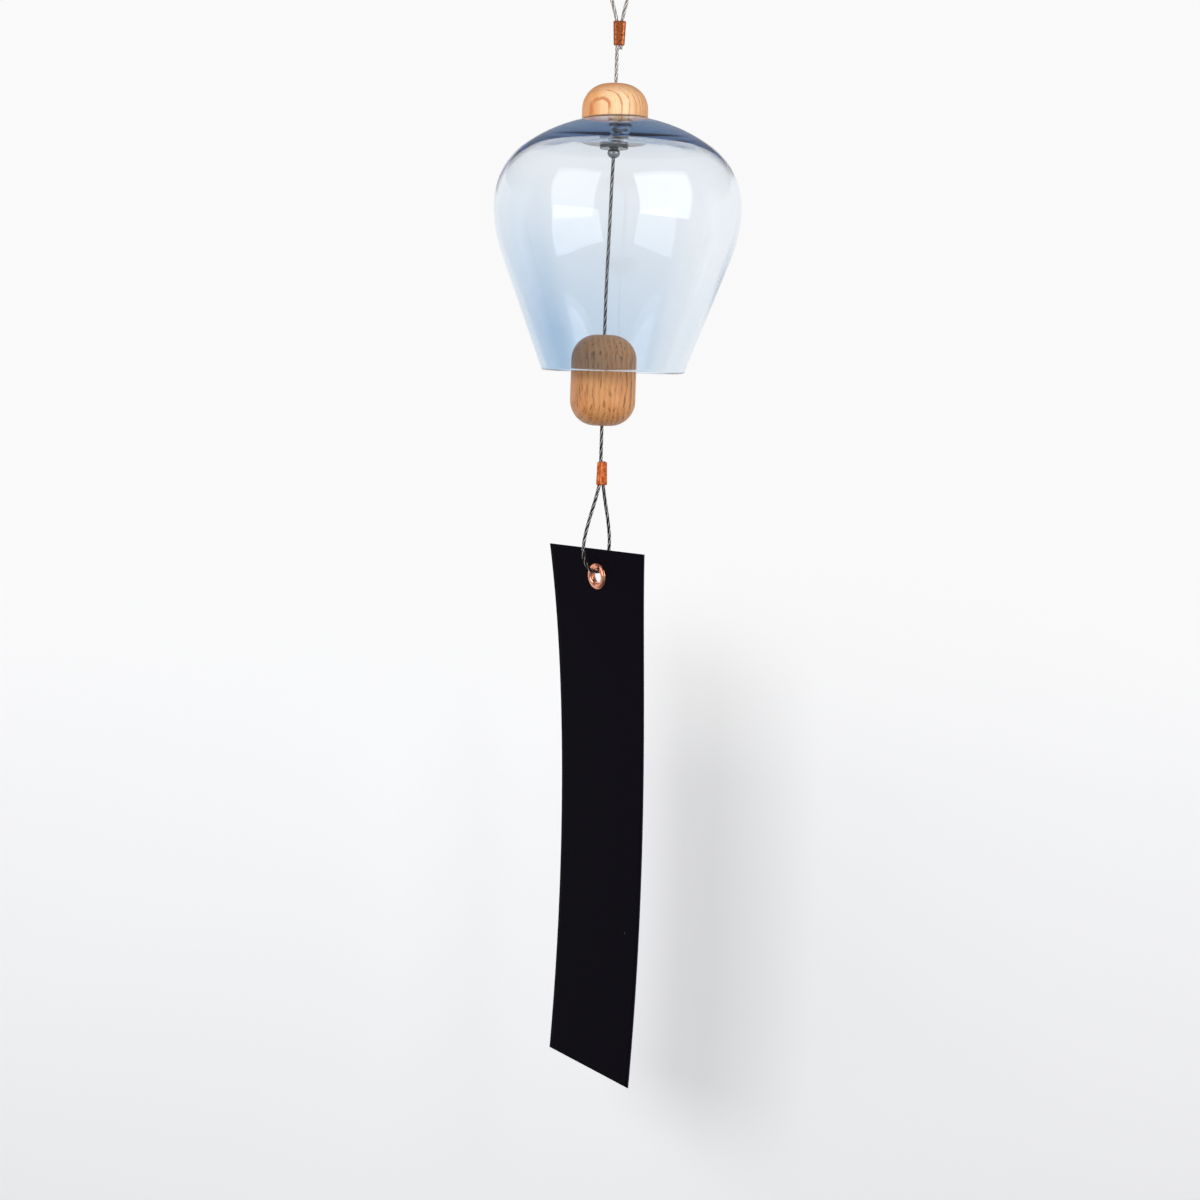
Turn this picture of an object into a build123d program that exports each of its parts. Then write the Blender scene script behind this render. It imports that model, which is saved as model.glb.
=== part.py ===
from build123d import *
import math
import os

# A glass wind bell on steel rope, in millimetres, +Z up, +X to the right of the front view.
# The origin is where a hook bears on the inside of the hanging loop.

# Steel rope and its two loops
rope_d = 1.5
rope_pitch = 1.6  # centre distance of the two ropes side by side in a sleeve
loop_length = 37.5  # from a sleeve's face to the rope's centre at the loop's end
upper_loop_half_width = 7.0
lower_loop_half_width = 7.1
tail_length = 1.5  # cut rope end that stands out of the upper sleeve
flush_length = 0.2  # cut rope end that stands out of the lower sleeve
end_gap = 0.2  # between the cut end of one rope and what lies past it
corner_share = 0.45  # of the shorter straight run, taken up by a bend of the rope

# The loops as shares of half width and loop length, from the dead end round to the standing rope
upper_loop_shares = (
    (1.00, 0.58),
    (0.98, 0.82),
    (0.58, 1.00),
    (-0.58, 1.00),
    (-0.98, 0.82),
    (-1.00, 0.57),
)
lower_loop_shares = (
    (0.87, 0.54),
    (0.86, 0.80),
    (0.55, 1.00),
    (-0.59, 1.00),
    (-1.17, 0.825),
    (-1.11, 0.576),
)

# Copper crimp sleeves
sleeve_length = 10.0
sleeve_wide = 5.4  # width at the loop's end
sleeve_narrow = 4.6  # width at the standing end
sleeve_thickness = 2.8
sleeve_edge = 0.4
tooth_d = 1.0  # marks of the crimping tool
tooth_depth = 0.2
tooth_count = 6
tooth_side_share = 0.45  # of the sleeve's half width
tooth_run_share = 0.78  # of the sleeve's length

# Oak cap and oak clapper, turned to one diameter
oak_d = 28.0
oak_corner = 10.7
oak_edge = 0.5
rope_clearance = 0.3  # round the rope in a bore
hang_gap = 16.0  # from the upper sleeve to the cap
cap_height = 15.0
cap_clearance = 0.2  # between the cap's hollow underside and the glass
clapper_height = 38.8
clapper_offset = 1.5  # the clapper hangs a little to the left of the ball
clapper_drop = 78.1  # from the ball's centre to the clapper's top
lean_drop = 48.0  # height over which the rope leans from the ball to the clapper's line
counterbore_d = 4.4
counterbore_depth = 6.5
stop_d = 4.0
stop_length = 4.5

# Glass bell
belly_r = 52.7
bell_height = 107.5
shoulder_r = 31.0
shoulder_angle = 55.0  # degrees above the level where the shoulder meets the crown
belly_arc_r = 59.5
rim_r = 30.9
glass_wall = 1.9
lip_thickness = 2.5
crown_thickness = 9.3  # from the crown's top to the flat seat under it
seat_r = 19.5  # flat seat for the gasket
ceiling_r = 158.0  # dome of the ceiling round the seat
glass_hole_d = 6.6
glass_shift = 2.4  # the glass sits to the right on its washer, by the play in its hole

# Rubber gasket, steel washer and steel ball under the crown
washer_d = 12.2
washer_hole_d = 3.2
washer_thickness = 1.0
washer_edge = 0.2
gasket_thickness = 0.9
turning_gap = 0.1  # between the glass and the gasket
ball_d = 5.4
ball_gap = 0.15  # between the ball and the edge of the washer's hole

# Lower end, strip and eyelet
tail_gap = 15.5  # from the clapper to the lower sleeve
strip_width = 62.5
strip_length = 231.5
strip_thickness = 0.5
strip_bow_r = 1330.0
strip_corner = 0.6
strip_turn = 51.0  # degrees, the strip's width swung towards the front
eyelet_tilt = 5.5  # degrees, the strip's top leaning towards the front
eyelet_margin = 12.0  # from the strip's top edge to the eyelet's middle
eyelet_hole_d = 6.0
eyelet_flange_d = 11.7
eyelet_wall = 0.5
eyelet_dome = 1.0
eyelet_back_thickness = 0.7
eyelet_lip = 0.6
eyelet_fit = 0.05
rope_sit = 0.3  # between the rope and the top of the eyelet's hole

# Heights, worked out downwards from the hook
rope_r = rope_d / 2
oak_r = oak_d / 2
ball_r = ball_d / 2
sleeve_top = rope_r - loop_length
sleeve_bottom = sleeve_top - sleeve_length
cap_top = sleeve_bottom - hang_gap
crown_r = shoulder_r + (belly_r - shoulder_r) / math.cos(math.radians(shoulder_angle))
cap_sag = crown_r - math.sqrt(crown_r**2 - (oak_r + glass_shift) ** 2)
crown_apex = cap_top - cap_height - cap_clearance + cap_sag
crown_centre = crown_apex - crown_r
equator = crown_centre + (belly_r - shoulder_r) * math.tan(math.radians(shoulder_angle))
glass_seat = crown_apex - crown_thickness
rim = crown_apex - bell_height
gasket_top = glass_seat - turning_gap
washer_top = gasket_top - gasket_thickness
washer_bottom = washer_top - washer_thickness
ball_centre = washer_bottom - ball_gap - math.sqrt(ball_r**2 - (washer_hole_d / 2) ** 2)
clapper_top = ball_centre - clapper_drop
clapper_bottom = clapper_top - clapper_height
stop_top = clapper_bottom + counterbore_depth
stop_bottom = stop_top - stop_length
strip_cable_top = stop_bottom - 2 * end_gap
lower_sleeve_top = clapper_bottom - tail_gap
lower_sleeve_bottom = lower_sleeve_top - sleeve_length
lower_loop_end = lower_sleeve_bottom - loop_length
eyelet_centre = lower_loop_end + rope_r + rope_sit - eyelet_hole_d / 2

# Directions of the strip: across its width, and straight through it towards the back
turn = math.radians(strip_turn)
strip_across = Vector(math.cos(turn), -math.sin(turn), 0)
strip_through = Vector(math.sin(turn), math.cos(turn), 0)


def bend_radii(points):
    radii = []
    for before, corner, after in zip(points, points[1:], points[2:]):
        arriving = Vector(*corner) - Vector(*before)
        leaving = Vector(*after) - Vector(*corner)
        half_turn = math.radians(arriving.get_angle(leaving)) / 2
        radii.append(corner_share * min(arriving.length, leaving.length) / math.tan(half_turn))
    return radii


# A rope along points (sideways, height) in an upright plane, as straight runs joined by bends
def rope(name, origin, sideways, points):
    places = [origin + sideways * side + Vector(0, 0, height) for side, height in points]
    radii = bend_radii(places)
    path = FilletPolyline(*places, radius=radii)
    section = Plane(origin=path @ 0, z_dir=path % 0) * Circle(rope_r)
    tube = sweep(section, path=path)
    share = tube.volume / (math.pi * rope_r**2 * path.length)
    rounded = [round(radius, 1) for radius in radii]
    print(name, "length", round(path.length, 2), "bends", rounded, "volume share", round(share, 4))
    return tube


# A crimped sleeve round two ropes, wide end first, with tool marks on one flat side
def sleeve(wide_face, narrow_face, ropes_middle, sideways, facing, ropes):
    wide_plane = Plane(origin=ropes_middle + Vector(0, 0, wide_face), x_dir=sideways)
    narrow_plane = Plane(origin=ropes_middle + Vector(0, 0, narrow_face), x_dir=sideways)
    ends = [
        wide_plane * SlotOverall(sleeve_wide, sleeve_thickness),
        narrow_plane * SlotOverall(sleeve_narrow, sleeve_thickness),
    ]
    body = loft(ends)
    rims = body.edges().group_by(Axis.Z)
    body = fillet(rims[0] + rims[-1], sleeve_edge)
    body -= ropes
    middle = (wide_face + narrow_face) / 2
    step = sleeve_length * tooth_run_share / (tooth_count - 1)
    for index in range(tooth_count):
        height = middle + (index - (tooth_count - 1) / 2) * step
        side = sideways * (tooth_side_share * sleeve_wide / 2)
        out = facing * (sleeve_thickness / 2 + tooth_d / 2 - tooth_depth)
        body -= Pos(*(ropes_middle + side + out + Vector(0, 0, height))) * Sphere(tooth_d / 2)
    return body


def revolved(edges):
    return revolve(make_face(edges), Axis.Z)


# Tangent point on the outer side of a circle for a straight line down to a point
def tangent_point(centre_x, centre_z, radius, point_x, point_z):
    reach = math.hypot(point_x - centre_x, point_z - centre_z)
    angle = math.atan2(point_z - centre_z, point_x - centre_x) + math.acos(radius / reach)
    return angle, (centre_x + radius * math.cos(angle), 0, centre_z + radius * math.sin(angle))


# Rope through the sleeve, cap and glass, down to the ball
hanging_points = [(rope_pitch, sleeve_bottom - tail_length), (rope_pitch, sleeve_top + rope_r)]
for side_share, length_share in upper_loop_shares:
    hanging_points.append((side_share * upper_loop_half_width, sleeve_top + length_share * loop_length))
hanging_points += [(0, sleeve_top), (0, ball_centre + ball_r + end_gap)]
hanging_cable = rope("hanging_cable", Vector(0, 0, 0), Vector(1, 0, 0), hanging_points)

upper_ferrule = sleeve(
    sleeve_top,
    sleeve_bottom,
    Vector(rope_pitch / 2, 0, 0),
    Vector(1, 0, 0),
    Vector(0, -1, 0),
    hanging_cable,
)

# Rope from the ball to the stop under the clapper
clapper_points = [
    (0, ball_centre),
    (-clapper_offset, ball_centre - lean_drop),
    (-clapper_offset, stop_bottom),
]
clapper_cable = rope("clapper_cable", Vector(0, 0, 0), Vector(1, 0, 0), clapper_points)

# Rope from the clapper down round the eyelet
strip_points = [
    (rope_pitch, lower_sleeve_top + flush_length),
    (rope_pitch, lower_sleeve_bottom - rope_r),
]
for side_share, length_share in lower_loop_shares:
    side = side_share * lower_loop_half_width
    strip_points.append((side, lower_sleeve_bottom - length_share * loop_length))
strip_points += [(0, lower_sleeve_bottom), (0, strip_cable_top)]
strip_line = Vector(-clapper_offset, 0, 0)
strip_cable = rope("strip_cable", strip_line, strip_through, strip_points)

lower_ferrule = sleeve(
    lower_sleeve_bottom,
    lower_sleeve_top,
    strip_line + strip_through * (rope_pitch / 2),
    strip_through,
    strip_across,
    strip_cable,
)

# Oak cap: a turned dome, bored for the rope and hollowed under to sit on the crown
bore_r = rope_r + rope_clearance
oak_cap = Pos(0, 0, cap_top) * Cylinder(oak_r, cap_height, align=(Align.CENTER, Align.CENTER, Align.MAX))
oak_cap = fillet(oak_cap.edges().sort_by(Axis.Z)[-1], oak_corner)
oak_cap -= Pos(glass_shift, 0, crown_centre) * Sphere(crown_r + cap_clearance)
oak_cap = fillet(oak_cap.edges().sort_by(Axis.Z)[0], oak_edge)
oak_cap -= Pos(0, 0, cap_top) * Cylinder(bore_r, cap_height * 2)

# Glass bell: crown and shoulder outside, belly and straight skirt down to a rounded lip
junction = math.radians(shoulder_angle)
shoulder_x = belly_r - shoulder_r
belly_x = belly_r - belly_arc_r
lip_r = lip_thickness / 2
lip_z = rim + lip_r
hole_r = glass_hole_d / 2
inner_r = belly_r - glass_wall
ceiling_centre = glass_seat - math.sqrt(ceiling_r**2 - seat_r**2)
ceiling_depth = equator - ceiling_centre
inner_shoulder_r = (ceiling_r**2 - inner_r**2 - ceiling_depth**2) / (2 * (ceiling_r - inner_r))
inner_shoulder_x = inner_r - inner_shoulder_r
inner_junction = math.atan2(ceiling_depth, inner_shoulder_x)
ceiling_half = (inner_junction + math.acos(seat_r / ceiling_r)) / 2
outer_end, outer_tangent = tangent_point(belly_x, equator, belly_arc_r, rim_r, lip_z)
inner_arc_r = belly_arc_r - glass_wall
inner_end, inner_tangent = tangent_point(belly_x, equator, inner_arc_r, rim_r - lip_thickness, lip_z)
crown_edge = (shoulder_x + shoulder_r * math.cos(junction), 0, equator + shoulder_r * math.sin(junction))
crown_hole = (hole_r, 0, crown_centre + math.sqrt(crown_r**2 - hole_r**2))
crown_half = (math.asin(hole_r / crown_r) + math.pi / 2 - junction) / 2
crown_mid = (crown_r * math.sin(crown_half), 0, crown_centre + crown_r * math.cos(crown_half))
ceiling_edge = (ceiling_r * math.cos(inner_junction), 0, ceiling_centre + ceiling_r * math.sin(inner_junction))
ceiling_mid = (ceiling_r * math.cos(ceiling_half), 0, ceiling_centre + ceiling_r * math.sin(ceiling_half))


def arc_middle(centre_x, radius, angle):
    return (centre_x + radius * math.cos(angle / 2), 0, equator + radius * math.sin(angle / 2))


glass_bell = Pos(glass_shift, 0, 0) * revolved(
    [
        ThreePointArc(crown_hole, crown_mid, crown_edge),
        ThreePointArc(crown_edge, arc_middle(shoulder_x, shoulder_r, junction), (belly_r, 0, equator)),
        ThreePointArc((belly_r, 0, equator), arc_middle(belly_x, belly_arc_r, outer_end), outer_tangent),
        Line(outer_tangent, (rim_r, 0, lip_z)),
        ThreePointArc((rim_r, 0, lip_z), (rim_r - lip_r, 0, rim), (rim_r - lip_thickness, 0, lip_z)),
        Line((rim_r - lip_thickness, 0, lip_z), inner_tangent),
        ThreePointArc(inner_tangent, arc_middle(belly_x, inner_arc_r, inner_end), (inner_r, 0, equator)),
        ThreePointArc(
            (inner_r, 0, equator),
            arc_middle(inner_shoulder_x, inner_shoulder_r, inner_junction),
            ceiling_edge,
        ),
        ThreePointArc(ceiling_edge, ceiling_mid, (seat_r, 0, glass_seat)),
        Line((seat_r, 0, glass_seat), (hole_r, 0, glass_seat)),
        Line((hole_r, 0, glass_seat), crown_hole),
    ]
)

# Rubber gasket under the glass, steel washer under the gasket, steel ball in the washer's hole
glass_gasket = Pos(0, 0, gasket_top - gasket_thickness / 2) * Cylinder(washer_d / 2, gasket_thickness)
glass_gasket -= Pos(0, 0, gasket_top) * Cylinder(washer_hole_d / 2, gasket_thickness * 3)
support_washer = Pos(0, 0, washer_top - washer_thickness / 2) * Cylinder(washer_d / 2, washer_thickness)
support_washer = fillet(support_washer.edges().filter_by(GeomType.CIRCLE), washer_edge)
support_washer -= Pos(0, 0, washer_top) * Cylinder(washer_hole_d / 2, washer_thickness * 3)
ball_stop = Pos(0, 0, ball_centre) * Sphere(ball_r) - clapper_cable

# Oak clapper: a turned pill with a rope bore and a counterbore for its stop
clapper_place = Pos(-clapper_offset, 0, (clapper_top + clapper_bottom) / 2)
oak_clapper = clapper_place * Cylinder(oak_r, clapper_height)
oak_clapper = fillet(oak_clapper.edges().filter_by(GeomType.CIRCLE), oak_corner)
oak_clapper -= clapper_place * Cylinder(bore_r, clapper_height * 2)
oak_clapper -= Pos(-clapper_offset, 0, clapper_bottom) * Cylinder(counterbore_d / 2, counterbore_depth * 2)
clapper_stop = Pos(-clapper_offset, 0, (stop_top + stop_bottom) / 2) * Cylinder(stop_d / 2, stop_length)
clapper_stop -= clapper_cable

# Wind strip: a bowed sheet, drawn as its long edge and drawn out across its width
tilt = math.radians(eyelet_tilt)
side_plane = Plane(origin=strip_line + Vector(0, 0, eyelet_centre), x_dir=strip_through, z_dir=strip_across)


def strip_point(along, out):
    angle = tilt + along / strip_bow_r
    reach = strip_bow_r + out
    return (
        reach * math.cos(angle) - strip_bow_r * math.cos(tilt),
        reach * math.sin(angle) - strip_bow_r * math.sin(tilt),
    )


strip_top_along = eyelet_margin
strip_end_along = eyelet_margin - strip_length
strip_mid_along = (strip_top_along + strip_end_along) / 2
half_thickness = strip_thickness / 2
strip_edge = make_face(
    [
        ThreePointArc(
            strip_point(strip_top_along, half_thickness),
            strip_point(strip_mid_along, half_thickness),
            strip_point(strip_end_along, half_thickness),
        ),
        Line(strip_point(strip_end_along, half_thickness), strip_point(strip_end_along, -half_thickness)),
        ThreePointArc(
            strip_point(strip_end_along, -half_thickness),
            strip_point(strip_mid_along, -half_thickness),
            strip_point(strip_top_along, -half_thickness),
        ),
        Line(strip_point(strip_top_along, -half_thickness), strip_point(strip_top_along, half_thickness)),
    ]
)
wind_strip = extrude(side_plane * strip_edge, strip_width / 2, dir=strip_across, both=True)
through = strip_through * math.cos(tilt) + Vector(0, 0, math.sin(tilt))
corner_edges = wind_strip.edges().filter_by(lambda edge: edge.length < strip_thickness * 2)
wind_strip = fillet(corner_edges, strip_corner)
eyelet_place = Plane(origin=side_plane.origin, x_dir=strip_across, z_dir=through)
barrel_r = eyelet_hole_d / 2 + eyelet_wall
fitted_r = barrel_r + eyelet_fit
wind_strip -= eyelet_place * Cylinder(fitted_r, strip_thickness * 4)

# Eyelet: a domed flange with its barrel in front, and a ring behind that the barrel is rolled over
flange_r = eyelet_flange_d / 2
eyelet_hole_r = eyelet_hole_d / 2
front_face = -half_thickness - eyelet_fit
back_face = half_thickness + eyelet_fit
ring_back = back_face + eyelet_back_thickness
barrel_end = ring_back + eyelet_fit
lip_outer_r = barrel_r + eyelet_lip
eyelet_front = eyelet_place * revolved(
    [
        Line((barrel_r, 0, barrel_end), (barrel_r, 0, front_face)),
        Line((barrel_r, 0, front_face), (flange_r, 0, front_face)),
        ThreePointArc(
            (flange_r, 0, front_face),
            ((flange_r + eyelet_hole_r) / 2, 0, front_face - eyelet_dome),
            (eyelet_hole_r, 0, front_face),
        ),
        Line((eyelet_hole_r, 0, front_face), (eyelet_hole_r, 0, barrel_end)),
        ThreePointArc(
            (eyelet_hole_r, 0, barrel_end),
            ((eyelet_hole_r + lip_outer_r) / 2, 0, barrel_end + eyelet_lip),
            (lip_outer_r, 0, barrel_end),
        ),
        Line((lip_outer_r, 0, barrel_end), (barrel_r, 0, barrel_end)),
    ]
)
eyelet_back = eyelet_place * revolved(
    [
        Line((fitted_r, 0, back_face), (fitted_r, 0, ring_back)),
        Line((fitted_r, 0, ring_back), (lip_outer_r, 0, ring_back)),
        ThreePointArc(
            (lip_outer_r, 0, ring_back),
            (
                lip_outer_r + (flange_r - lip_outer_r) * math.sin(math.pi / 4),
                0,
                back_face + eyelet_back_thickness * math.sin(math.pi / 4),
            ),
            (flange_r, 0, back_face),
        ),
        Line((flange_r, 0, back_face), (fitted_r, 0, back_face)),
    ]
)

nodes = {
    "hanging_cable": hanging_cable,
    "upper_ferrule": upper_ferrule,
    "oak_cap": oak_cap,
    "glass_bell": glass_bell,
    "glass_gasket": glass_gasket,
    "support_washer": support_washer,
    "ball_stop": ball_stop,
    "clapper_cable": clapper_cable,
    "oak_clapper": oak_clapper,
    "clapper_stop": clapper_stop,
    "strip_cable": strip_cable,
    "lower_ferrule": lower_ferrule,
    "wind_strip": wind_strip,
    "eyelet_front": eyelet_front,
    "eyelet_back": eyelet_back,
}
os.makedirs("parts", exist_ok=True)
for node, shape in nodes.items():
    export_step(shape, f"parts/{node}.step")
    box = shape.bounding_box()
    print(node, len(shape.solids()), round(shape.volume, 2), box.min, box.max)
print("clapper pivot", ball_centre, "strip cable top", strip_cable_top, "lower loop end", lower_loop_end)
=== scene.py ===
import math

import bpy
import numpy as np
from mathutils import Matrix, Vector


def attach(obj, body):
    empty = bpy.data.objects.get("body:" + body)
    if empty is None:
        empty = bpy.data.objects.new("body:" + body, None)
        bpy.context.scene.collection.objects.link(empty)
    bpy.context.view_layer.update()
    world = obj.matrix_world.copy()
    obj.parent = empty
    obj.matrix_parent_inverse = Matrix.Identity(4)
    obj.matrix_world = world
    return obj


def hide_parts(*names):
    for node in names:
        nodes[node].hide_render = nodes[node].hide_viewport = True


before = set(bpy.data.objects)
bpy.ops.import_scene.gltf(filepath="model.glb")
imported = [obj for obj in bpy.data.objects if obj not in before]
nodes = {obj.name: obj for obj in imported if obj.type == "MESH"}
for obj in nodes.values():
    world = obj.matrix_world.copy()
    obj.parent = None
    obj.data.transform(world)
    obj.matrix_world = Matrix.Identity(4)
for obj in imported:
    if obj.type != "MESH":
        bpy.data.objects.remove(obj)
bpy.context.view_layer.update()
print("frame loaded,", len(nodes), "nodes")


# Helpers for meshes and shader trees
mixSockets = {"factor": 0, "first": 6, "second": 7, "result": 2}  # the Mix node's own order, for colours


def meshPiece(name, verts, faces, material, uvs=None):
    mesh = bpy.data.meshes.new(name)
    mesh.from_pydata(verts, [], faces)
    mesh.update()
    for poly in mesh.polygons:
        poly.use_smooth = True
    if uvs is not None:
        layer = mesh.uv_layers.new(name="UVMap")
        corner = np.empty(len(mesh.loops), dtype=np.int32)
        mesh.loops.foreach_get("vertex_index", corner)
        layer.data.foreach_set("uv", np.asarray(uvs, dtype=np.float32)[corner].ravel())
    mesh.materials.append(material)
    piece = bpy.data.objects.new(name, mesh)
    bpy.context.scene.collection.objects.link(piece)
    return piece


class Shader:
    def __init__(self, owner):
        owner.use_nodes = True
        self.tree = owner.node_tree
        self.material = owner
        self.bsdf = self.tree.nodes.get("Principled BSDF")
        self.out = self.tree.nodes.get("Material Output")

    def node(self, kind, **settings):
        made = self.tree.nodes.new(kind)
        for key, value in settings.items():
            setattr(made, key, value)
        return made

    def link(self, source, target):
        self.tree.links.new(source, target)

    def set(self, **values):
        for key, value in values.items():
            self.bsdf.inputs[key.replace("_", " ")].default_value = value

    def paint(self, colour, rough):
        self.link(colour, self.bsdf.inputs["Base Color"])
        self.link(rough, self.bsdf.inputs["Roughness"])

    def place(self, scale=(1, 1, 1), location=(0, 0, 0), source="Object"):
        coord = self.node("ShaderNodeTexCoord")
        mapping = self.node("ShaderNodeMapping")
        mapping.inputs["Location"].default_value = location
        mapping.inputs["Scale"].default_value = scale
        self.link(coord.outputs[source], mapping.inputs["Vector"])
        return mapping.outputs["Vector"]

    def noise(self, vector, scale, detail=3.0, rough=0.55, warp=0.0):
        made = self.node("ShaderNodeTexNoise")
        made.inputs["Scale"].default_value = scale
        made.inputs["Detail"].default_value = detail
        made.inputs["Roughness"].default_value = rough
        made.inputs["Distortion"].default_value = warp
        self.link(vector, made.inputs["Vector"])
        return made.outputs["Fac"]

    def speckle(self, scale, detail=3.0, rough=0.55, warp=0.0):  # the same in all directions
        return self.noise(self.place(), scale, detail, rough, warp)

    def streaks(self, grain):  # drawn out along the piece's upright axis
        return self.noise(self.place(scale=grain["scale"]), 1.0, grain["detail"], grain["rough"])

    def ramp(self, value, places, colours):
        made = self.node("ShaderNodeValToRGB")
        band = made.color_ramp
        while len(band.elements) < len(places):
            band.elements.new(0.5)
        for element, place, colour in zip(band.elements, places, colours):
            element.position = place
            element.color = (*colour, 1)
        self.link(value, made.inputs["Fac"])
        return made.outputs["Color"]

    def shades(self, value, stops):
        places, levels = zip(*stops)
        return self.ramp(value, places, [(level, level, level) for level in levels])

    def grey(self, value, low, high, start=0.0, end=1.0):
        made = self.node("ShaderNodeMapRange")
        made.inputs["From Min"].default_value = start
        made.inputs["From Max"].default_value = end
        made.inputs["To Min"].default_value = low
        made.inputs["To Max"].default_value = high
        self.link(value, made.inputs["Value"])
        return made.outputs["Result"]

    def mix(self, factor, first, second, blend="MIX"):
        made = self.node("ShaderNodeMix", data_type="RGBA", blend_type=blend)
        self.link(factor, made.inputs[mixSockets["factor"]])
        for key, colour in (("first", first), ("second", second)):
            target = made.inputs[mixSockets[key]]
            if isinstance(colour, bpy.types.NodeSocket):
                self.link(colour, target)
            else:
                target.default_value = (*colour, 1)
        return made.outputs[mixSockets["result"]]

    def calc(self, operation, first, second=0.0):
        made = self.node("ShaderNodeMath", operation=operation)
        self.link(first, made.inputs[0])
        if isinstance(second, bpy.types.NodeSocket):
            self.link(second, made.inputs[1])
        else:
            made.inputs[1].default_value = second
        return made.outputs[0]

    def vector(self, operation, source):
        made = self.node("ShaderNodeVectorMath", operation=operation)
        self.link(source, made.inputs[0])
        return made

    def split(self, source):
        made = self.node("ShaderNodeSeparateXYZ")
        self.link(source, made.inputs["Vector"])
        return made.outputs

    def bump(self, height, strength, distance):
        made = self.node("ShaderNodeBump")
        made.inputs["Strength"].default_value = strength
        made.inputs["Distance"].default_value = distance
        self.link(height, made.inputs["Height"])
        self.link(made.outputs["Normal"], self.bsdf.inputs["Normal"])


def newShader(name):
    return Shader(bpy.data.materials.new(name))


# Oak: growth rings round an upright axis beside the piece (in millimetres), with pores along the fibre
oakLook = {
    "cap": {
        "pith": (22.0, 40.4), "period": 2.05, "phase": 0.866, "warp": 0.42, "ringFrom": 0.70,
        "broken": (0.4, 1.0), "endGrainAndShade": 0.75, "fibre": 0.44, "poreFrom": 0.61,
        # the pale colour, laid across the cap, is a painted highlight in the middle and painted shade on the
        # left, in part the paler sapwood inside the arch
        "light": (0.76, 0.385, 0.155), "pale": (0.845, 0.625, 0.378),
        "paintedLightAt": [(0.0, 0.0), (0.22, 0.1), (0.3, 0.6), (0.52, 1.0), (0.72, 0.9), (0.95, 0.2)],
        "line": (0.54, 0.19, 0.055), "pore": (0.50, 0.19, 0.058),
    },
    "clapper": {
        "pith": (-38.0, -20.0), "period": 2.3, "phase": 0.3, "warp": 1.3, "ringFrom": 0.3,
        "broken": (0.6, 1.0), "endGrainAndShade": 0.3, "fibre": 0.6, "poreFrom": 0.56,
        # the pale colour, laid across the clapper, is painted light on its right side
        "light": (0.58, 0.28, 0.105), "pale": (0.76, 0.385, 0.155),
        "paintedLightAt": [(0.0, 0.0), (0.5, 0.3), (1.0, 1.0)],
        "line": (0.49, 0.21, 0.07), "pore": (0.26, 0.088, 0.025),
    },
}
oakGrain = {
    "wander": {"scale": (120, 120, 60), "detail": 3.0, "rough": 0.55, "span": (0.25, 0.75)},
    "breaks": {"scale": (420, 420, 150), "detail": 2.0, "rough": 0.55, "span": (0.38, 0.6)},
    "fibre": {"scale": (2400, 2400, 90), "detail": 4.0, "rough": 0.6, "span": (0.4, 0.75), "relief": 0.4},
    "clouds": {"scale": (160, 160, 40), "detail": 2.0, "rough": 0.55, "span": (0.4, 0.7), "share": 0.4},
    "pores": {"scale": (1500, 1500, 190), "detail": 1.5, "rough": 0.4, "edge": 0.07,
              "share": (0.15, 1.0), "ring": 0.35},
    "halfWidth": 0.014, "lateWood": (0.86, 0.93), "ends": (0.45, 0.95),
    "rough": (0.38, 0.55), "bump": (0.3, 0.0002),
}


def oakMaterial(name, look):
    s = newShader(name)
    g = oakGrain
    pithX, pithY = look["pith"]
    fromPith = s.place(scale=(1000, 1000, 0), location=(-pithX, -pithY, 0))  # flat, in millimetres
    wander = s.grey(s.streaks(g["wander"]), -look["warp"], look["warp"], *g["wander"]["span"])
    depth = s.calc("ADD", s.vector("LENGTH", fromPith).outputs["Value"], wander)
    ring = s.calc("FRACT", s.calc("ADD", s.calc("MULTIPLY", depth, 1 / look["period"]), look["phase"]))
    full, fading = g["lateWood"]
    late = s.shades(ring, [(0.0, 0.0), (look["ringFrom"], 0.0), (full, 1.0), (fading, 1.0), (1.0, 0.0)])
    broken = s.grey(s.streaks(g["breaks"]), *look["broken"], *g["breaks"]["span"])
    # painted light: from left to right across the piece the wood turns towards its pale colour
    across = s.grey(s.split(s.place())["X"], 0, 1, -g["halfWidth"], g["halfWidth"])
    body = s.mix(s.shades(across, look["paintedLightAt"]), look["light"], look["pale"])
    # upward faces take the ring-line colour: partly the oak's end grain, partly painted shade on the top, as
    # faces underneath stay plain
    upward = s.split(s.node("ShaderNodeTexCoord").outputs["Normal"])["Z"]
    ends = s.grey(upward, 0, look["endGrainAndShade"], *g["ends"])
    growth = s.mix(s.calc("MAXIMUM", s.calc("MULTIPLY", late, broken), ends), body, look["line"])
    fibre = s.streaks(g["fibre"])
    shaded = s.mix(s.grey(fibre, 0, look["fibre"], *g["fibre"]["span"]), growth, look["line"])
    clouds = s.grey(s.streaks(g["clouds"]), 0, g["clouds"]["share"], *g["clouds"]["span"])
    warm = s.mix(clouds, shaded, look["line"], "SOFT_LIGHT")
    pores = s.grey(s.streaks(g["pores"]), 0, 1, look["poreFrom"], look["poreFrom"] + g["pores"]["edge"])
    inRing = s.grey(ring, *g["pores"]["share"], look["ringFrom"], look["ringFrom"] + g["pores"]["ring"])
    openPores = s.calc("MULTIPLY", pores, inRing)
    s.paint(s.mix(openPores, warm, look["pore"]), s.grey(fibre, *g["rough"]))
    s.bump(s.calc("SUBTRACT", s.calc("MULTIPLY", fibre, g["fibre"]["relief"]), openPores), *g["bump"])
    return s.material


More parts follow.
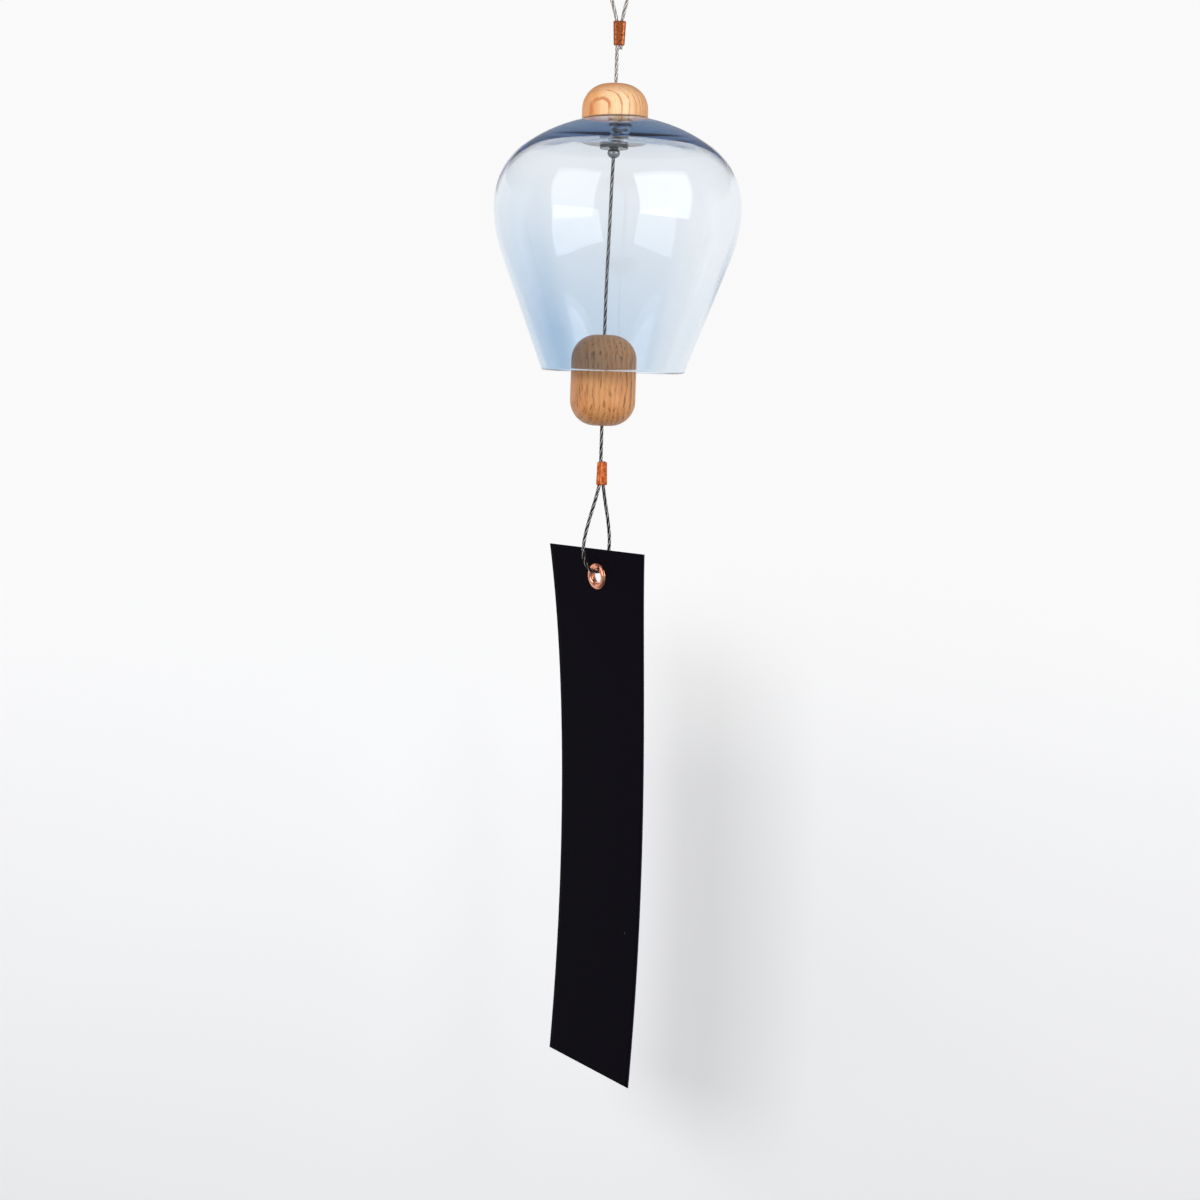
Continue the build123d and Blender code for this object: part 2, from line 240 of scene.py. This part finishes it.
# Crimped copper of the sleeves
copperLook = {
    "upper": {"dark": (0.20, 0.034, 0.007), "bright": (0.64, 0.21, 0.08), "scale": 1300.0},
    "lower": {"dark": (0.38, 0.075, 0.018), "bright": (0.82, 0.23, 0.075), "scale": 700.0},
    "mottle": {"detail": 5.0, "rough": 0.65, "warp": 0.4}, "tonesAt": (0.36, 0.66),
    "rough": (0.5, 0.3), "roughAt": (0.35, 0.7), "bump": (0.35, 0.00015),
}


def copperMaterial(name, look):
    s = newShader(name)
    s.set(Metallic=1.0)
    mottle = s.speckle(look["scale"], **copperLook["mottle"])
    colour = s.ramp(mottle, copperLook["tonesAt"], (look["dark"], look["bright"]))
    s.paint(colour, s.grey(mottle, *copperLook["rough"], *copperLook["roughAt"]))
    s.bump(mottle, *copperLook["bump"])
    return s.material


# Polished metal under a thin film
polishLook = {
    "eyelet": {"dark": (0.66, 0.21, 0.105), "bright": (0.94, 0.45, 0.31), "rough": (0.05, 0.12),
               "film": 420.0, "marks": 1500.0, "bump": (0.08, 0.0001)},
    # painted shade: the ball's and the washer's low reflectance stands in for the dark room that their
    # polished steel mirrors
    "ball": {"dark": (0.17, 0.173, 0.185), "bright": (0.21, 0.213, 0.225), "rough": (0.02, 0.05),
             "film": 700.0, "marks": 2500.0, "bump": (0.05, 0.00005)},
    "washer": {"dark": (0.02, 0.021, 0.024), "bright": (0.04, 0.042, 0.047), "rough": (0.10, 0.18),
               "film": 700.0, "marks": 2500.0, "bump": (0.05, 0.00005)},
    "tonesAt": (0.3, 0.7), "roughAt": (0.3, 0.75), "markDetail": 2.0,
}


def polishedMaterial(name, look):
    s = newShader(name)
    s.set(Metallic=1.0)
    film = s.speckle(look["film"])
    colour = s.ramp(film, polishLook["tonesAt"], (look["dark"], look["bright"]))
    s.paint(colour, s.grey(film, *look["rough"], *polishLook["roughAt"]))
    s.bump(s.speckle(look["marks"], polishLook["markDetail"]), *look["bump"])
    return s.material


rubberLook = {
    "dark": (0.010, 0.010, 0.011), "bright": (0.026, 0.026, 0.028), "tonesAt": (0.3, 0.8),
    "grain": 2200.0, "rough": (0.5, 0.75), "bump": (0.2, 0.0001),
}


def rubberMaterial():
    s = newShader("gasketRubber")
    grain = s.speckle(rubberLook["grain"])
    colour = s.ramp(grain, rubberLook["tonesAt"], (rubberLook["dark"], rubberLook["bright"]))
    s.paint(colour, s.grey(grain, *rubberLook["rough"]))
    s.bump(grain, *rubberLook["bump"])
    return s.material


copperUpper = copperMaterial("mottledCopper", copperLook["upper"])
polishedCopper = polishedMaterial("polishedCopper", polishLook["eyelet"])
finishes = {
    "oak_cap": oakMaterial("capOak", oakLook["cap"]),
    "oak_clapper": oakMaterial("clapperOak", oakLook["clapper"]),
    "upper_ferrule": copperUpper,
    "clapper_stop": copperUpper,
    "lower_ferrule": copperMaterial("orangeCopper", copperLook["lower"]),
    "eyelet_front": polishedCopper,
    "eyelet_back": polishedCopper,
    "support_washer": polishedMaterial("shadedSteel", polishLook["washer"]),
    "ball_stop": polishedMaterial("polishedSteel", polishLook["ball"]),
    "glass_gasket": rubberMaterial(),
}
for node, material in finishes.items():
    slots = nodes[node].data.materials
    slots.clear()
    slots.append(material)
print("finishes made")


# Steel ropes, laid up from six lobed strands round a core, on routes of (sideways, height)
ropeLay = {
    "diameter": 0.0015, "strands": 6, "lay": 0.0120, "wires": 6, "wireLay": 0.0045, "lobe": 0.07,
    "curveSteps": 24, "step": 0.00028, "sides": 16, "coreSides": 8, "coreShare": 0.95,
    "paintedShine": (1.0, 0.84, 0.97, 0.82, 1.0, 0.86, 0.8),  # the six strands, then the core: how strongly each takes the painted highlight
}
ropeLook = {
    "pale": ((0.09, 0.072, 0.068), (0.50, 0.45, 0.43), (0.93, 0.90, 0.88)),  # groove, flank and crest: painted shade deep in the grooves, painted highlight on the crests
    "dark": ((0.003, 0.002, 0.002), (0.035, 0.03, 0.03), (0.70, 0.67, 0.66)),
    "tonesAt": (0.60, 0.82, 0.97), "metal": 0.9, "film": 1500.0, "filmShare": 0.12, "filmAt": (0.3, 0.7),
    "rough": (0.3, 0.48), "marksAlong": (1.0, 30.0, 1.0), "marks": {"scale": 3.0, "detail": 2.0},
    "bump": (0.25, 0.00005),
}
hangingRoute = [
    (0, -0.0866926), (0, -0.044), (0, -0.03675), (-0.007, -0.015375), (-0.00686, -0.006), (-0.00406, 0.00075),
    (0.00406, 0.00075), (0.00686, -0.006), (0.007, -0.015), (0.0016, -0.036), (0.0016, -0.041),
    (0.0016, -0.04825)]
clapperRoute = [(0, -0.0895926), (-0.0015, -0.1375926), (-0.0015, -0.1655), (-0.0015, -0.2044926)]
stripRoute = [
    (0, -0.2048926), (0, -0.2252), (0, -0.2319926), (-0.007881, -0.2535926), (-0.008307, -0.2629301),
    (-0.004189, -0.2694926), (0.003905, -0.2694926), (0.006106, -0.2619926), (0.006177, -0.2522426),
    (0.0016, -0.2327426), (0.0016, -0.2282), (0.0016, -0.2217926)]
stripTurn = math.radians(51.0)
stripThrough = Vector((math.sin(stripTurn), math.cos(stripTurn), 0))


def ropeMaterial(name, colours):
    s = newShader(name)
    look = ropeLook
    s.set(Metallic=look["metal"])
    outward = s.split(s.place(source="UV"))["Y"]
    film = s.speckle(look["film"])
    # painted shade and highlight: each strand is coloured darker towards the rope's inside and lighter on its
    # outer crest
    paintedShadeAndFilm = s.calc("ADD", outward, s.grey(film, -look["filmShare"], look["filmShare"], *look["filmAt"]))
    s.paint(s.ramp(paintedShadeAndFilm, look["tonesAt"], colours), s.grey(film, *look["rough"]))
    s.bump(s.noise(s.place(source="UV", scale=look["marksAlong"]), **look["marks"]), *look["bump"])
    return s.material


def routeLine(name, route, origin, sideways):
    curve = bpy.data.curves.new(name, "CURVE")
    curve.dimensions = "3D"
    curve.resolution_u = ropeLay["curveSteps"]
    spline = curve.splines.new("NURBS")
    spline.points.add(len(route) - 1)
    for point, (side, height) in zip(spline.points, route):
        point.co = (*(origin + sideways * side + Vector((0, 0, height))), 1)
    spline.order_u = 3
    spline.use_endpoint_u = True
    holder = bpy.data.objects.new(name, curve)
    line = bpy.data.meshes.new_from_object(holder)
    places = np.array([tuple(v.co) for v in line.vertices])
    bpy.data.objects.remove(holder)
    bpy.data.curves.remove(curve)
    bpy.data.meshes.remove(line)
    return places


def evenly(places, step):
    run = np.concatenate([[0], np.cumsum(np.linalg.norm(np.diff(places, axis=0), axis=1))])
    marks = np.linspace(0, run[-1], max(2, int(round(run[-1] / step))) + 1)
    return np.stack([np.interp(marks, run, places[:, k]) for k in range(3)], axis=1), marks


def steelRope(name, route, origin, sideways, material):
    places = routeLine(name + "Line", route, origin, sideways)
    line, marks = evenly(places, ropeLay["step"])
    count = len(line)
    across = np.array(sideways.cross(Vector((0, 0, 1))).normalized())  # the route lies in one upright plane
    along = np.gradient(line, axis=0)
    along /= np.linalg.norm(along, axis=1)[:, None]
    side = np.cross(across, along)
    strands = ropeLay["strands"]
    strandR = ropeLay["diameter"] / 6  # strand, core and strand fill the rope's width
    wireTurn = 2 * math.pi * marks / ropeLay["wireLay"]
    verts, faces, uvs = [], [], []
    for strand in range(strands + 1):
        isCore = strand == strands
        sides = ropeLay["coreSides"] if isCore else ropeLay["sides"]
        turn = 2 * math.pi * (marks / ropeLay["lay"] + strand / strands)
        offset = 0.0 if isCore else 2 * strandR
        centre = line + offset * (np.cos(turn)[:, None] * side + np.sin(turn)[:, None] * across)
        start = len(verts)
        for k in range(sides):
            angle = 2 * math.pi * k / sides
            wires = 1 + ropeLay["lobe"] * np.cos(ropeLay["wires"] * (angle - wireTurn))
            reach = strandR * wires * (ropeLay["coreShare"] if isCore else 1.0)
            face = turn + angle
            ring = centre + (reach * np.cos(face))[:, None] * side + (reach * np.sin(face))[:, None] * across
            verts.extend(map(tuple, ring))
            crest = ropeLay["paintedShine"][strand] * (0.5 + 0.5 * math.cos(angle))
            uvs.extend((m * 1000, crest) for m in marks)  # millimetres along the rope, and how far out, which sets the painted shade and highlight
        for k in range(sides):
            a, b = start + k * count, start + ((k + 1) % sides) * count
            faces.extend((a + i, b + i, b + i + 1, a + i + 1) for i in range(count - 1))
        faces.append([start + k * count for k in range(sides)])
        faces.append([start + k * count + count - 1 for k in reversed(range(sides))])
    piece = meshPiece(name, verts, faces, material, uvs)
    return piece, [tuple(p) for p in places], float(marks[-1])


paleRope = ropeMaterial("paleRopeSteel", ropeLook["pale"])
darkRope = ropeMaterial("darkRopeSteel", ropeLook["dark"])
ropes = {
    "hangingRope": {
        "node": "hanging_cable", "body": "hanger", "sleeve": "upper_ferrule", "steel": paleRope,
        "lay": "taut", "route": hangingRoute, "origin": Vector((0, 0, 0)), "sideways": Vector((1, 0, 0)),
    },
    "clapperRope": {
        "node": "clapper_cable", "body": "clapper", "sleeve": "clapper_stop", "steel": darkRope,
        "lay": "taut", "route": clapperRoute, "origin": Vector((0, 0, 0)), "sideways": Vector((1, 0, 0)),
    },
    "stripRope": {
        "node": "strip_cable", "body": "tail", "sleeve": "lower_ferrule", "steel": darkRope,
        "lay": "hanging", "route": stripRoute, "origin": Vector((-0.0015, 0, 0)), "sideways": stripThrough,
    },
}
for name, plan in ropes.items():
    rope, path, length = steelRope(name, plan["route"], plan["origin"], plan["sideways"], plan["steel"])
    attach(rope, plan["body"])
    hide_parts(plan["node"])
    print(name, "length", round(length, 4))


# Blown glass bell, turned from its wall profile
bell = {
    "apex": -0.0759677, "axis": 0.0024, "height": 0.1075, "belly": 0.0527, "bellyArc": 0.0595,
    "shoulder": 0.031, "shoulderAngle": 55.0, "crown": 0.0093, "ceiling": 0.158, "seat": 0.0195,
    "hole": 0.0033, "wall": 0.0019, "rim": 0.0309, "lip": 0.0025,
    "segments": 224, "longRun": 40, "shortRun": 24, "lipRun": 20,
    "ripple": 0.00005, "waves": [(1.0, 3, 0.0, 9), (0.6, 7, 1.3, -5)],  # share, waves, begin and rise
}
# Its glass deepens with thickness, under a wash of blue that grows towards the foot; the wash is strongest on
# the left and faint on the right, which is painted shade and light
glassLook = {
    "pale": (1.0, 1.0, 1.0), "wash": (0.64, 0.755, 0.87), "washFrom": -0.093, "washFull": -0.1675,
    "washAndShadeShares": [(0.0, 0.85), (0.06, 0.95), (0.15, 1.0), (0.28, 0.66), (0.5, 0.56), (0.76, 0.5),
                   (0.87, 0.16), (1.0, 0.16)],
    "absorb": (0.06, 0.29, 0.53), "density": 33.0, "ior": 1.47, "rough": (0.0, 0.015),
    "swirl": {"scale": 2.6, "detail": 2.0, "rough": 0.5, "warp": 0.4}, "swirlShare": 0.05,
    "swirlAt": (0.3, 0.7),
    "waviness": {"scale": (30, 30, 9), "detail": 1.0, "rough": 0.55}, "bump": (0.25, 0.0012),
}


def glassMaterial():
    s = newShader("blueGlass")
    look = glassLook
    s.set(IOR=look["ior"], Transmission_Weight=1.0)
    lower = s.grey(s.split(s.place())["Z"], 0, 1, look["washFrom"], look["washFull"])
    fromAxis = s.place(location=(-bell["axis"], 0, 0), scale=(1, 1, 0))
    around = s.vector("NORMALIZE", fromAxis).outputs["Vector"]
    swirl = s.noise(around, **look["swirl"])
    drift = s.grey(swirl, -look["swirlShare"], look["swirlShare"], *look["swirlAt"])
    # painted shade and light: the wash is heavier round the bell's left side and lighter round its right
    sideways = s.calc("ADD", s.grey(s.split(around)["X"], 0, 1, -1, 1), drift)
    washedAndShaded = s.calc("MULTIPLY", lower, s.shades(sideways, look["washAndShadeShares"]))
    s.paint(s.mix(washedAndShaded, look["pale"], look["wash"]), s.grey(swirl, *look["rough"]))
    s.bump(s.streaks(look["waviness"]), *look["bump"])
    volume = s.node("ShaderNodeVolumeAbsorption")
    volume.inputs["Color"].default_value = (*look["absorb"], 1)
    volume.inputs["Density"].default_value = look["density"]
    s.link(volume.outputs["Volume"], s.out.inputs["Volume"])
    return s.material


def arcPoints(centreX, centreZ, radius, start, end, count):
    return [(centreX + radius * math.cos(a), centreZ + radius * math.sin(a))
            for a in np.linspace(start, end, count)]


def straightPoints(first, last, count):
    return [(first[0] + (last[0] - first[0]) * t, first[1] + (last[1] - first[1]) * t)
            for t in np.linspace(0, 1, count + 1)[1:]]


def tangentAngle(centreX, centreZ, radius, x, z):
    reach = math.hypot(x - centreX, z - centreZ)
    return math.atan2(z - centreZ, x - centreX) + math.acos(radius / reach)


def bellProfile():
    b = bell
    longRun, shortRun = b["longRun"], b["shortRun"]
    lean = math.radians(b["shoulderAngle"])
    crownR = b["shoulder"] + (b["belly"] - b["shoulder"]) / math.cos(lean)
    crownZ = b["apex"] - crownR
    equator = crownZ + (b["belly"] - b["shoulder"]) * math.tan(lean)
    seatZ = b["apex"] - b["crown"]
    lipR = b["lip"] / 2
    lipZ = b["apex"] - b["height"] + lipR
    bellyX = b["belly"] - b["bellyArc"]
    outerEnd = tangentAngle(bellyX, equator, b["bellyArc"], b["rim"], lipZ)
    innerArc = b["bellyArc"] - b["wall"]
    innerEnd = tangentAngle(bellyX, equator, innerArc, b["rim"] - b["lip"], lipZ)
    inside, dome = b["belly"] - b["wall"], b["ceiling"]
    domeZ = seatZ - math.sqrt(dome ** 2 - b["seat"] ** 2)
    depth = equator - domeZ
    bend = (dome ** 2 - inside ** 2 - depth ** 2) / (2 * (dome - inside))
    domeStart = math.atan2(depth, inside - bend)
    outer = arcPoints(0, crownZ, crownR, math.pi / 2 - math.asin(b["hole"] / crownR), lean, longRun)
    outer += arcPoints(b["belly"] - b["shoulder"], equator, b["shoulder"], lean, 0, longRun)[1:]
    outer += arcPoints(bellyX, equator, b["bellyArc"], 0, outerEnd, shortRun)[1:]
    outer += straightPoints(outer[-1], (b["rim"], lipZ), shortRun)
    lip = arcPoints(b["rim"] - lipR, lipZ, lipR, 0, -math.pi, b["lipRun"])[1:]
    flankTop = (bellyX + innerArc * math.cos(innerEnd), equator + innerArc * math.sin(innerEnd))
    inner = straightPoints(lip[-1], flankTop, shortRun)
    inner += arcPoints(bellyX, equator, innerArc, innerEnd, 0, shortRun)[1:]
    inner += arcPoints(inside - bend, equator, bend, 0, domeStart, longRun)[1:]
    inner += arcPoints(0, domeZ, dome, domeStart, math.acos(b["seat"] / dome), shortRun)[1:]
    flat = [(radius, seatZ) for radius in np.linspace(b["seat"], b["hole"], shortRun)[1:]]
    bore = [(b["hole"], (seatZ + outer[0][1]) / 2)]
    return outer, lip, inner, flat, bore, (seatZ, lipZ)


def glassBell():
    outer, lip, inner, flat, bore, (seatZ, lipZ) = bellProfile()
    profile = outer + lip + inner + flat + bore
    innerFrom, innerTo = len(outer) + len(lip), len(outer) + len(lip) + len(inner)
    count, around = len(profile), bell["segments"]
    verts = []
    for j in range(around):
        turn = 2 * math.pi * j / around
        for i, (radius, height) in enumerate(profile):
            if innerFrom <= i < innerTo:  # hand-blown wall: the inside runs a little uneven
                climb = (height - lipZ) / (seatZ - lipZ)
                fade = max(0.0, math.sin(math.pi * min(1.0, max(0.0, climb)))) ** 0.5
                wander = sum(share * math.sin(waves * turn + begin + rise * climb)
                             for share, waves, begin, rise in bell["waves"])
                radius += bell["ripple"] * fade * wander
            verts.append((bell["axis"] + radius * math.cos(turn), radius * math.sin(turn), height))
    faces = []
    for j in range(around):
        a, b = j * count, ((j + 1) % around) * count
        faces.extend((a + i, a + (i + 1) % count, b + (i + 1) % count, b + i) for i in range(count))
    return meshPiece("glassBell", verts, faces, glassMaterial())


glass = glassBell()
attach(glass, "bell")
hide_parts("glass_bell")
print("glass bell turned")


# Paper strip, bowed along its length, with a twist that grows below the eyelet and then stays
strip = {
    "width": 0.0625, "length": 0.2315, "thick": 0.0005, "margin": 0.012, "hole": 0.00355,
    "place": Vector((-0.0015, 0, -0.2714426)), "bow": 1.330, "tilt": 5.5, "twist": 4.9, "fade": 0.0405,
    "block": 0.008, "blockCells": 8, "sideCells": 10, "lengthCells": 71, "ringCells": 4,
    "snap": 1e7,  # corners are told apart to a tenth of a micrometre
}
paperLook = {
    "face": (0.0028, 0.0022, 0.0044), "cutEdge": (0.022, 0.022, 0.034), "lift": 1.5, "tonesAt": (0.3, 0.75),
    "fibre": {"scale": 900.0, "detail": 5.0, "rough": 0.65},
    "dust": {"scale": 620.0, "detail": 1.0, "rough": 0.3}, "dustAt": (0.86, 0.88), "fleck": (0.5, 0.5, 0.5),
    "sheen": 0.04, "rough": (0.7, 0.9), "bump": (0.25, 0.0001),
}


def paperMaterial(name, base):
    s = newShader(name)
    look = paperLook
    s.set(Specular_IOR_Level=look["sheen"])
    fibre = s.speckle(**look["fibre"])
    body = s.ramp(fibre, look["tonesAt"], (base, [look["lift"] * part for part in base]))
    dust = s.grey(s.speckle(**look["dust"]), 0, 1, *look["dustAt"])
    s.paint(s.mix(dust, body, look["fleck"]), s.grey(fibre, *look["rough"]))
    s.bump(fibre, *look["bump"])
    return s.material


def stripPlace(across, along, out):
    tilt = math.radians(strip["tilt"])
    angle = tilt + along / strip["bow"]
    reach = strip["bow"] + out
    through = reach * math.cos(angle) - strip["bow"] * math.cos(tilt)
    height = reach * math.sin(angle) - strip["bow"] * math.sin(tilt)
    turn = stripTurn + math.radians(strip["twist"]) * (1 - math.exp(along / strip["fade"]))
    return (strip["place"] + Vector((math.cos(turn), -math.sin(turn), 0)) * across
            + Vector((math.sin(turn), math.cos(turn), 0)) * through + Vector((0, 0, height)))


def paperStrip():
    halfWidth, block, hole = strip["width"] / 2, strip["block"], strip["hole"]
    inside = list(np.linspace(-block, block, strip["blockCells"] + 1))
    leftSide = list(np.linspace(-halfWidth, -block, strip["sideCells"] + 1))
    rightSide = list(np.linspace(block, halfWidth, strip["sideCells"] + 1))
    columns = leftSide[:-1] + inside + rightSide[1:]
    foot = strip["margin"] - strip["length"]
    rows = [strip["margin"]] + inside[::-1] + list(np.linspace(-block, foot, strip["lengthCells"] + 1)[1:])
    flat, cells, seen = [], [], {}

    def corner(x, y):
        key = (round(x * strip["snap"]), round(y * strip["snap"]))
        if key not in seen:
            seen[key] = len(flat)
            flat.append((x, y))
        return seen[key]

    for top, low in zip(rows, rows[1:]):
        for left, right in zip(columns, columns[1:]):
            middle = ((left + right) / 2, (top + low) / 2)
            if max(abs(middle[0]), abs(middle[1])) < block:
                continue  # the square round the eyelet is filled below
            cells.append((corner(left, low), corner(right, low), corner(right, top), corner(left, top)))
    border = [(x, -block) for x in inside[:-1]] + [(block, y) for y in inside[:-1]]
    border += [(x, block) for x in inside[:0:-1]] + [(-block, y) for y in inside[:0:-1]]
    rings = []
    for share in np.linspace(0, 1, strip["ringCells"] + 1):
        ring = []
        for x, y in border:
            reach = math.hypot(x, y)
            ring.append(corner(x + (x / reach * hole - x) * share, y + (y / reach * hole - y) * share))
        rings.append(ring)
    for outerRing, innerRing in zip(rings, rings[1:]):
        for k in range(len(border)):
            n = (k + 1) % len(border)
            cells.append((outerRing[k], outerRing[n], innerRing[n], innerRing[k]))
    half, total = strip["thick"] / 2, len(flat)
    verts = [stripPlace(x, y, -half) for x, y in flat] + [stripPlace(x, y, half) for x, y in flat]
    faces = list(cells) + [tuple(total + v for v in reversed(cell)) for cell in cells]
    pairs = {}
    for cell in cells:
        for a, b in zip(cell, cell[1:] + cell[:1]):
            pairs[(a, b)] = True
    edge = [(a, b) for a, b in pairs if (b, a) not in pairs]
    faces += [(b, a, total + a, total + b) for a, b in edge]
    piece = meshPiece("paperStrip", verts, faces, paperMaterial("blackPaper", paperLook["face"]))
    piece.data.materials.append(paperMaterial("cutPaperEdge", paperLook["cutEdge"]))
    for poly in piece.data.polygons[2 * len(cells):]:
        poly.material_index = 1
        poly.use_smooth = False
    return piece


paper = paperStrip()
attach(paper, "strip")
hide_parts("wind_strip")
print("strip hung")


# Studio: a white backdrop, two soft boxes, and a key light that throws the strip's shadow on it
backdropLook = {
    "wall": 0.16, "low": -0.80, "top": -0.033, "halfWidth": 2.2,
    "paper": ((0.93, 0.934, 0.955), (0.945, 0.95, 0.97)), "paperAt": (0.3, 0.7), "rough": 0.9, "sheen": 0.1,
    "clouds": {"scale": 3.0, "detail": 2.0}, "glow": (0.2, 1.0), "glowFrom": (-0.39, -0.26),
    "paintedShadeFrom": (-0.56, -0.42), "left": (0.91, 0.92, 0.945), "right": (1.0, 1.0, 1.0),
    "paintedSideFrom": (-0.10, 0.28), "white": (0.95, 0.95, 0.95), "through": (1.0, 1.0, 1.0),
}
lamps = {
    "softBoxLeft": {"place": (-0.62, -0.70, 0.13), "aim": (0, 0, -0.13), "size": (0.74, 0.97), "power": 4.0,
                    "mirrored": True},
    "softBoxRight": {"place": (0.66, -0.68, 0.16), "aim": (0, 0, -0.13), "size": (0.95, 0.90), "power": 6.7,
                     "mirrored": True},
    "keyLight": {"place": (-0.40, -1.15, 0.10), "aim": (0, 0, -0.37), "size": (0.31, 0.31), "power": 6.4,
                 "mirrored": False},
}
# Room: dim towards the camera, overhead and below, white at the sides and behind
roomLook = {
    "front": (-0.6, 0.05), "level": (0.42, 0.9), "above": (0.05, 0.35), "dark": 0.36,
    "below": (-0.7, -0.2), "floor": 0.3, "white": 0.95,
}
cameraView = {"place": (0, -0.862, -0.1934), "lens": 60.0, "sensor": 36.0, "down": 5.85, "roll": 1.77}
bounceLimit = 96  # the thick crown turns light round many times inside


def backdrop():
    look = backdropLook
    edges = (-look["halfWidth"], look["halfWidth"])
    verts = [(x, look["wall"], z) for z in (look["low"], look["top"]) for x in edges]
    s = newShader("backdropPaper")
    s.link(s.ramp(s.speckle(**look["clouds"]), look["paperAt"], look["paper"]), s.bsdf.inputs["Base Color"])
    s.set(Roughness=look["rough"], Specular_IOR_Level=look["sheen"])
    rays = s.node("ShaderNodeLightPath").outputs
    direct = s.calc("MAXIMUM", rays["Is Camera Ray"], rays["Is Glossy Ray"])
    seen = s.calc("MAXIMUM", direct, rays["Is Transmission Ray"])
    place = s.split(s.place())
    # painted shade: lower down, the backdrop's glow darkens, more on the left than on the right
    low = s.mix(s.grey(place["X"], 0, 1, *look["paintedSideFrom"]), look["left"], look["right"])
    glow = s.node("ShaderNodeEmission")
    white = s.mix(rays["Is Transmission Ray"], look["white"], look["through"])
    s.link(s.mix(s.grey(place["Z"], 0, 1, *look["paintedShadeFrom"]), low, white), glow.inputs["Color"])
    lit = s.node("ShaderNodeMixShader")  # the top is plain white, and lower down the lamps and shadows show
    s.link(s.calc("MULTIPLY", seen, s.grey(place["Z"], *look["glow"], *look["glowFrom"])), lit.inputs["Fac"])
    s.link(s.bsdf.outputs["BSDF"], lit.inputs[1])
    s.link(glow.outputs["Emission"], lit.inputs[2])
    oneWay = s.node("ShaderNodeMixShader")  # seen from behind, the backdrop is open
    s.link(s.node("ShaderNodeNewGeometry").outputs["Backfacing"], oneWay.inputs["Fac"])
    s.link(lit.outputs["Shader"], oneWay.inputs[1])
    s.link(s.node("ShaderNodeBsdfTransparent").outputs["BSDF"], oneWay.inputs[2])
    s.link(oneWay.outputs["Shader"], s.out.inputs["Surface"])
    meshPiece("backdrop", verts, [(0, 1, 3, 2)], s.material)


def studioWorld():
    world = bpy.data.worlds.new("studio")
    bpy.context.scene.world = world
    s = Shader(world)
    look = roomLook
    back = s.tree.nodes["Background"]
    rays = s.node("ShaderNodeLightPath").outputs
    way = s.split(s.node("ShaderNodeTexCoord").outputs["Generated"])
    overhead = s.grey(way["Z"], 1, look["dark"], *look["above"])
    underneath = s.grey(way["Z"], look["floor"], 1, *look["below"])
    frontToBack = s.grey(way["Y"], *look["level"], *look["front"])
    room = s.calc("MULTIPLY", frontToBack, s.calc("MULTIPLY", overhead, underneath))
    direct = s.calc("MAXIMUM", rays["Is Camera Ray"], rays["Is Transmission Ray"])
    seen = s.calc("MULTIPLY", direct, look["white"])
    back.inputs["Color"].default_value = (1, 1, 1, 1)
    s.link(s.calc("MAXIMUM", seen, room), back.inputs["Strength"])


def softBox(name, plan):
    lamp = bpy.data.lights.new(name, "AREA")
    lamp.shape = "RECTANGLE"
    lamp.size, lamp.size_y = plan["size"]
    lamp.energy = plan["power"]
    holder = bpy.data.objects.new(name, lamp)
    holder.location = plan["place"]
    holder.rotation_mode = "QUATERNION"
    holder.rotation_quaternion = (Vector(plan["aim"]) - Vector(plan["place"])).to_track_quat("-Z", "Y")
    holder.visible_glossy = holder.visible_transmission = plan["mirrored"]
    bpy.context.scene.collection.objects.link(holder)


def studioCamera():
    camera = bpy.data.cameras.new("camera")
    camera.lens = cameraView["lens"]
    camera.sensor_width = cameraView["sensor"]
    viewer = bpy.data.objects.new("camera", camera)
    viewer.matrix_world = (Matrix.Translation(cameraView["place"])
                           @ Matrix.Rotation(math.radians(90 - cameraView["down"]), 4, "X")
                           @ Matrix.Rotation(math.radians(cameraView["roll"]), 4, "Z"))
    bpy.context.scene.collection.objects.link(viewer)
    bpy.context.scene.camera = viewer


backdrop()
studioWorld()
for name, plan in lamps.items():
    softBox(name, plan)
studioCamera()
bpy.context.scene.view_settings.view_transform = "Standard"
lightPaths = bpy.context.scene.cycles
lightPaths.max_bounces = lightPaths.glossy_bounces = lightPaths.transmission_bounces = bounceLimit
print("studio set")
